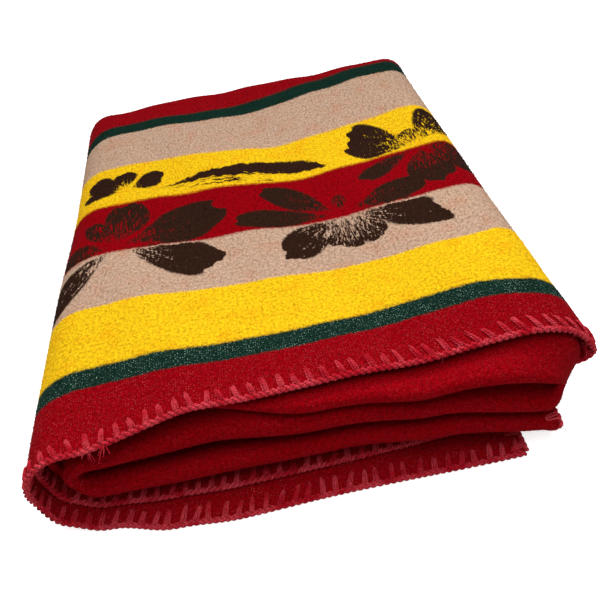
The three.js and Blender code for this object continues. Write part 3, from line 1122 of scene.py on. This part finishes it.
class Edge:
    """Places beside one edge of the folded cloth, by metres along it and metres in from it."""

    def __init__(self, grid, face):
        along = np.gradient(grid, axis=0)
        inwards = np.gradient(grid, axis=1)
        self.grid = grid
        self.out = face * unit(np.cross(along, inwards))
        steps = np.linalg.norm(np.diff(grid[:, 0], axis=0), axis=-1)
        self.run = np.concatenate([[0.0], np.cumsum(steps)])
        inner = np.linalg.norm(np.diff(grid, axis=1), axis=-1)
        self.depth = np.concatenate([np.zeros((len(grid), 1)), np.cumsum(inner, axis=1)], axis=1)
        self.length = float(self.run[-1])

    def column(self, along):
        at = np.interp(along, self.run, np.arange(len(self.run)))
        low = np.clip(at.astype(int), 0, len(self.run) - 2)
        share = (at - low)[:, None]
        return low, share

    def place(self, along, inwards, lift):
        """Points at these distances, lifted from the middle of the cloth towards its face."""
        low, share = self.column(np.clip(along, 0.0, self.length))
        grid = mix(self.grid[low], self.grid[low + 1], share[..., None])
        out = unit(mix(self.out[low], self.out[low + 1], share[..., None]))
        depth = mix(self.depth[low], self.depth[low + 1], share)
        rows = np.arange(grid.shape[1])
        row = np.array([np.interp(max(far, 0.0), cut, rows) for far, cut in zip(inwards, depth)])
        below = np.clip(row.astype(int), 0, grid.shape[1] - 2)
        pick = np.arange(len(row))
        part = (row - below)[:, None]
        point = mix(grid[pick, below], grid[pick, below + 1], part)
        normal = unit(mix(out[pick, below], out[pick, below + 1], part))
        outwards = unit(grid[:, 0] - grid[:, 1])
        return point + normal * lift[:, None] + outwards * np.maximum(-inwards, 0.0)[:, None]


EDGES = {name: Edge(*rows) for name, rows in edge_grids().items()}
print("edges in metres", {name: round(edge.length, 3) for name, edge in EDGES.items()})

# %% [markdown]
# Yarn is a round tube along a line of points. The tube also keeps, for every point, the way round it
# and the distance along it. The yarn's look needs them to wind its plies round the strand.

# %% Yarn tubes
UPRIGHT = 0.9


def tube_piece(name, lines, thickness, sides, taper=None):
    """One mesh of closed tubes: lines is strands by points by xyz."""
    strands, points, _ = lines.shape
    along = unit(np.gradient(lines, axis=1))
    start = np.where(np.abs(along[..., 2:]) < UPRIGHT, [[[0.0, 0.0, 1.0]]], [[[1.0, 0.0, 0.0]]])
    first = unit(np.cross(along, start))
    second = np.cross(along, first)
    angle = 2 * math.pi * np.arange(sides) / sides
    ring = np.cos(angle)[:, None] * first[:, :, None] + np.sin(angle)[:, None] * second[:, :, None]
    radius = thickness / 2 * (np.ones(points) if taper is None else np.asarray(taper))
    verts = lines[:, :, None] + ring * radius[None, :, None, None]
    index = np.arange(strands * points * sides).reshape(strands, points, sides)
    turn = np.roll(index, -1, axis=2)
    quads = np.stack([index[:, :-1], turn[:, :-1], turn[:, 1:], index[:, 1:]], axis=-1)
    quads = quads.reshape(-1, 4)
    caps = np.concatenate([index[:, 0, ::-1], index[:, -1]])
    mesh = bpy.data.meshes.new(name)
    mesh.from_pydata(verts.reshape(-1, 3), [], [*quads.tolist(), *caps.tolist()])
    steps = np.linalg.norm(np.diff(lines, axis=1), axis=-1)
    far = np.concatenate([np.zeros((strands, 1)), np.cumsum(steps, axis=1)], axis=1)
    far = np.broadcast_to(far[:, :, None], index.shape)
    wound = np.stack([np.broadcast_to(np.cos(angle), index.shape),
                      np.broadcast_to(np.sin(angle), index.shape), far], axis=-1)
    mesh.attributes.new("ply", "FLOAT_VECTOR", "POINT").data.foreach_set("vector", wound.ravel())
    mesh.polygons.foreach_set("use_smooth", np.ones(len(mesh.polygons), dtype=bool))
    piece = bpy.data.objects.new(name, mesh)
    bpy.context.scene.collection.objects.link(piece)
    print(name, strands, "strands,", len(mesh.polygons), "faces")
    return piece


def above_floor(lines, thickness):
    """The same lines, kept from sinking below the surface that the pile lies on."""
    kept = lines.copy()
    kept[..., 2] = np.maximum(kept[..., 2], thickness / 2)
    return kept


print("tubes start from another side when steeper than", UPRIGHT)

# %% [markdown]
# A leg is three strands that start side by side at the edge, lie on the cloth and dive into one hole.
# Legs stand about a finger's width apart, never quite evenly, and lean to one side. One leg is worked
# out as a short table, and the same table serves every stitch.

# %% Legs of the blanket stitch
STITCH_PITCH = 0.0108
LEG_REACH = 0.0112
LEG_LEAN = -0.0026
YARN_THICKNESS = 0.0016
# share of the reach, height above the cloth's face, how far apart the strands are
LEG_SHAPE = np.array([
    (-0.16, -0.0012, 1.0),
    (0.06, 0.0007, 1.0),
    (0.40, 0.0009, 0.92),
    (0.80, 0.0007, 0.68),
    (1.00, -0.0012, 0.40),
])
LEG_TAPER = (0.9, 1.0, 1.0, 0.95, 0.7)
LEG_SIDES = 5
STRANDS_APART = (-0.0015, 0.0, 0.0015)
MIDDLE_LIFT = 0.0005
# how unevenly the stitches stand, lean and reach
UNEVEN_PITCH = 0.0007
UNEVEN_LEAN = 0.0011
UNEVEN_REACH = (0.84, 1.16)
UNEVEN_STRAND = (0.86, 1.08)
UNEVEN_APART = (0.8, 1.25)


def leg_lines(edge):
    count = int(edge.length / STITCH_PITCH)
    along = (np.arange(count) + 0.5) * edge.length / count + random.normal(0, UNEVEN_PITCH, count)
    reach = LEG_REACH * random.uniform(*UNEVEN_REACH, count)
    lean = LEG_LEAN + random.normal(0, UNEVEN_LEAN, count)
    lines = []
    for face in (1.0, -1.0):
        for beside in STRANDS_APART:
            stand = 0.0 if beside else MIDDLE_LIFT
            shift = beside * random.uniform(*UNEVEN_APART, count)
            far = reach * random.uniform(*UNEVEN_STRAND, count)
            points = []
            for share, height, apart in LEG_SHAPE:
                lift = face * (CLOTH_THICKNESS / 2 + height + stand) * np.ones(count)
                at = along + shift * apart + lean * max(share, 0.0)
                points.append(edge.place(at, far * share, lift))
            lines.append(np.stack(points, axis=1))
    return np.concatenate(lines)


all_legs = np.concatenate([leg_lines(edge) for edge in EDGES.values()])
all_legs = above_floor(all_legs, YARN_THICKNESS)
legs = tube_piece("hem_stitch_legs", all_legs, YARN_THICKNESS, LEG_SIDES, taper=LEG_TAPER)

# %% [markdown]
# Along the edge itself two strands wind round each other, outside the cloth's cut edge. Every edge is
# one run of the same winding, with points close enough together to keep the strands round.

# %% Chain of the blanket stitch
CHAIN_STEP = 0.0011
CHAIN_STRANDS = 2
CHAIN_TURN = 0.0098
CHAIN_OUT = 0.0014
CHAIN_RADIUS = 0.0012
CHAIN_THICKNESS = 0.0030
CHAIN_SIDES = 6
# how far the winding runs ahead and behind, and how often
CHAIN_UNEVEN = 0.5
CHAIN_UNEVEN_WAVE = 83.0


def chain_lines(edge):
    count = int(edge.length / CHAIN_STEP)
    along = np.linspace(0, edge.length, count)
    lines = []
    for start in 2 * math.pi * np.arange(CHAIN_STRANDS) / CHAIN_STRANDS:
        uneven = CHAIN_UNEVEN * np.sin(along * CHAIN_UNEVEN_WAVE)
        turn = start + 2 * math.pi * along / CHAIN_TURN + uneven
        inwards = -CHAIN_OUT + CHAIN_RADIUS * np.cos(turn)
        lines.append(edge.place(along, inwards, CHAIN_RADIUS * np.sin(turn)))
    return lines


chain_parts = []
for name, edge in EDGES.items():
    lines = above_floor(np.stack(chain_lines(edge)), CHAIN_THICKNESS)
    chain_parts.append(tube_piece(name.replace(" ", "_"), lines, CHAIN_THICKNESS, CHAIN_SIDES))
clear_selection()
for part in chain_parts:
    part.select_set(True)
bpy.context.view_layer.objects.active = chain_parts[0]
bpy.ops.object.join()
chain = bpy.context.object
chain.name = "hem_stitch_chain"
print(chain.name, len(chain.data.polygons), "faces")

# %% [markdown]
# Old yarn sheds. Single hairs stand off along the hems, thin and curled. They are drawn as very thin
# tubes with a bend of their own, and those that would reach the floor are left out.

# %% Stray hairs along the hems
HAIRS_PER_METRE = 190
HAIR_THICKNESS = 0.00022
HAIR_REACH = (0.002, 0.007)
HAIR_INWARDS = (-0.003, 0.004)
HAIR_LIFT = (0.0005, 0.003)
HAIR_AWAY = 0.004
HAIR_SPREAD = 0.9
HAIR_CURL = 0.5
HAIR_CLEAR = 0.006
HAIR_POINTS = 6
HAIR_SIDES = 3


def hair_lines(edge):
    count = int(edge.length * HAIRS_PER_METRE)
    along = random.uniform(0, edge.length, count)
    inwards = random.uniform(*HAIR_INWARDS, count)
    root = edge.place(along, inwards, random.uniform(*HAIR_LIFT, count))
    away = edge.place(along, inwards - HAIR_AWAY, np.full(count, HAIR_AWAY)) - root
    way = unit(unit(away) + HAIR_SPREAD * random.normal(0, 1, (count, 3)))
    curl = random.normal(0, HAIR_CURL, (count, 3))
    reach = random.uniform(*HAIR_REACH, (count, 1))
    steps = np.linspace(0, 1, HAIR_POINTS)
    lines = np.stack([root + reach * (way * step + curl * step * step) for step in steps], axis=1)
    return lines[lines[..., 2].min(axis=1) > HAIR_CLEAR]


all_hairs = np.concatenate([hair_lines(edge) for edge in EDGES.values()])
hairs = tube_piece("stray_hairs", all_hairs, HAIR_THICKNESS, HAIR_SIDES)

# %% [markdown]
# Here and there a yarn end was never sewn in, and a tuft of it hangs from the chain. Each tuft is six
# short strands that start together and spread.

# %% Loose yarn ends
# edge, metres along it
TUFTS = [("cover hem", 0.470), ("cover hem", 0.482)]
TUFT_STRANDS = 6
TUFT_REACH = 0.0062
TUFT_THICKNESS = 0.0010
TUFT_SIDES = 5
TUFT_SPREAD = 0.45
TUFT_DROOP = np.array([0.0, 0.0, -0.5])
TUFT_TAPER = np.linspace(1.0, 0.6, HAIR_POINTS)


def tuft_lines():
    none = np.zeros(TUFT_STRANDS)
    lines = []
    for name, along in TUFTS:
        edge = EDGES[name]
        at = np.full(TUFT_STRANDS, along)
        root = edge.place(at, none, none)
        outwards = unit(edge.place(at, none - HAIR_AWAY, none) - root)
        way = outwards + TUFT_SPREAD * random.normal(0, 1, (TUFT_STRANDS, 3))
        bows = [way * step + TUFT_DROOP * step * step for step in np.linspace(0, 1, HAIR_POINTS)]
        lines.append(np.stack([root + TUFT_REACH * bow for bow in bows], axis=1))
    return np.concatenate(lines)


all_tufts = above_floor(tuft_lines(), TUFT_THICKNESS)
tufts = tube_piece("loose_yarn_ends", all_tufts, TUFT_THICKNESS, TUFT_SIDES, taper=TUFT_TAPER)

# %% [markdown]
# The yarn is two plies wound round each other. The tube's own coordinates give the way round and the
# distance along, so a sine of their sum makes the two grooves that wind along each strand. Its dye is
# a crimson, faded to pink in patches. The grooves and the hollows between the fibres are painted
# darker, which is painted shade.

# %% The stitching yarn
PLY_TURN = 0.0046
YARN_CLUMPS = 900.0
YARN_PATCHES = 70.0
PATCH_ENDS = (0.35, 0.65)
# the dark red that is painted into the grooves as shade
YARN_PAINTED_SHADE = linear(148, 5, 22)
YARN_CRIMSON = linear(210, 18, 42)
YARN_PINK = linear(246, 82, 96)
PLY_SHADE, FUZZ_SHADE = 0.4, 0.6
PLY_RELIEF, FUZZ_RELIEF = 0.9, 0.5
YARN_STRENGTH = 0.7
YARN_DEPTH = 0.0007

yarn, tree, surface = new_material("stitch_yarn")
wound = put(tree, "ShaderNodeAttribute", attribute_name="ply").outputs["Vector"]
round_x, round_y, far = axes_of(tree, wound)
wind = calc(tree, "MULTIPLY", far, 2 * math.pi / PLY_TURN)
wave = weighed(tree, round_x, calc(tree, "SINE", wind), round_y, calc(tree, "COSINE", wind))
ply = calc(tree, "ABSOLUTE", wave)
yarn_place = put(tree, "ShaderNodeTexCoord").outputs["Object"]
fuzz = use_group(tree, nap, {"Place": yarn_place, "Clumps": YARN_CLUMPS})
# painted shade: the dye turns dark in the grooves between the plies and between the fibres
painted_groove_shade = weighed(tree, fuzz["Shade in hollows"], FUZZ_SHADE, ply, PLY_SHADE)
patches = rise(tree, noise(tree, yarn_place, YARN_PATCHES), *PATCH_ENDS)
dyed = tint(tree, patches, YARN_CRIMSON, YARN_PINK)
tree.links.new(tint(tree, painted_groove_shade, YARN_PAINTED_SHADE, dyed), surface.inputs["Base Color"])
rounding = weighed(tree, ply, PLY_RELIEF, fuzz["Height"], FUZZ_RELIEF)
relief = {"Height": rounding, "Strength": YARN_STRENGTH, "Distance": YARN_DEPTH}
tree.links.new(put(tree, "ShaderNodeBump", relief).outputs[0], surface.inputs["Normal"])
set_finish(surface, {
    "Roughness": 0.9,
    "Specular IOR Level": 0.1,
    "Sheen Weight": 0.04,
    "Sheen Roughness": 0.4,
})
for piece in (legs, chain, hairs, tufts):
    piece.data.materials.clear()
    piece.data.materials.append(yarn)
print("material", yarn.name, "with", len(tree.nodes), "nodes")

# %% [markdown]
# The cloth stands for the solid blanket, and the stitching belongs to the same sheet. All of it rides
# on the frame's one body.

# %% Tie the pieces to the frame
dressed = (blanket, nap_ends, legs, chain, hairs, tufts)
for piece in dressed:
    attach(piece, "root")
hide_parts("blanket")
print("pieces", [piece.name for piece in dressed])

# %% [markdown]
# The pile lies on a white table without an end to it. The floor glows a little, but only for the
# camera, so it comes out white and still takes a faint shadow. Light Path tells the camera's rays from
# the others.

# %% Floor
FLOOR_GLOW = 0.75
FLOOR_SIZE = 40.0
FLOOR_COLOUR = linear(244, 244, 244)
WHITE = (1.0, 1.0, 1.0, 1.0)

clear_selection()
bpy.ops.mesh.primitive_plane_add(size=FLOOR_SIZE, location=(0, 0, 0))
floor = bpy.context.object
floor.name = "floor"
pale, tree, surface = new_material("pale_floor")
set_finish(surface, {"Base Color": FLOOR_COLOUR, "Roughness": 0.9, "Emission Color": WHITE})
seen = put(tree, "ShaderNodeLightPath").outputs["Is Camera Ray"]
tree.links.new(calc(tree, "MULTIPLY", seen, FLOOR_GLOW), surface.inputs["Emission Strength"])
floor.data.materials.append(pale)
print("floor", FLOOR_SIZE, "m wide")

# %% [markdown]
# A soft lamp hangs over the front hem, so the light falls off towards the back and the folds in front
# lie in the shade of the cover. A wide sun from above and behind fills the top evenly. A weak sky keeps
# the shade from going black, and the camera sees it as white.

# %% Light
SUN_TURN = (math.radians(-42), math.radians(9), 0.0)
SUN_STRENGTH = 1.75
SUN_WIDTH = math.radians(26)
LAMP_AT = (0.06, -0.16, 0.75)
LAMP_SIZE = 0.6
LAMP_POWER = 3.0
SKY_LIGHT = 0.24

clear_selection()
bpy.ops.object.light_add(type="SUN", rotation=SUN_TURN)
sun = bpy.context.object.data
sun.energy = SUN_STRENGTH
sun.angle = SUN_WIDTH
clear_selection()
bpy.ops.object.light_add(type="AREA", location=LAMP_AT)
lamp = bpy.context.object
lamp.data.size = LAMP_SIZE
lamp.data.energy = LAMP_POWER
lamp.visible_camera = False
world = bpy.data.worlds.new("studio")
bpy.context.scene.world = world
world.use_nodes = True
tree = world.node_tree
sky = tree.nodes["Background"]
sky.inputs["Color"].default_value = WHITE
seen = put(tree, "ShaderNodeLightPath").outputs["Is Camera Ray"]
shown = calc(tree, "ADD", calc(tree, "MULTIPLY", seen, 1.0 - SKY_LIGHT), SKY_LIGHT)
tree.links.new(shown, sky.inputs["Strength"])
bpy.context.scene.view_settings.view_transform = "Standard"
print("sun", SUN_STRENGTH, "lamp", LAMP_POWER, "and sky", SKY_LIGHT)
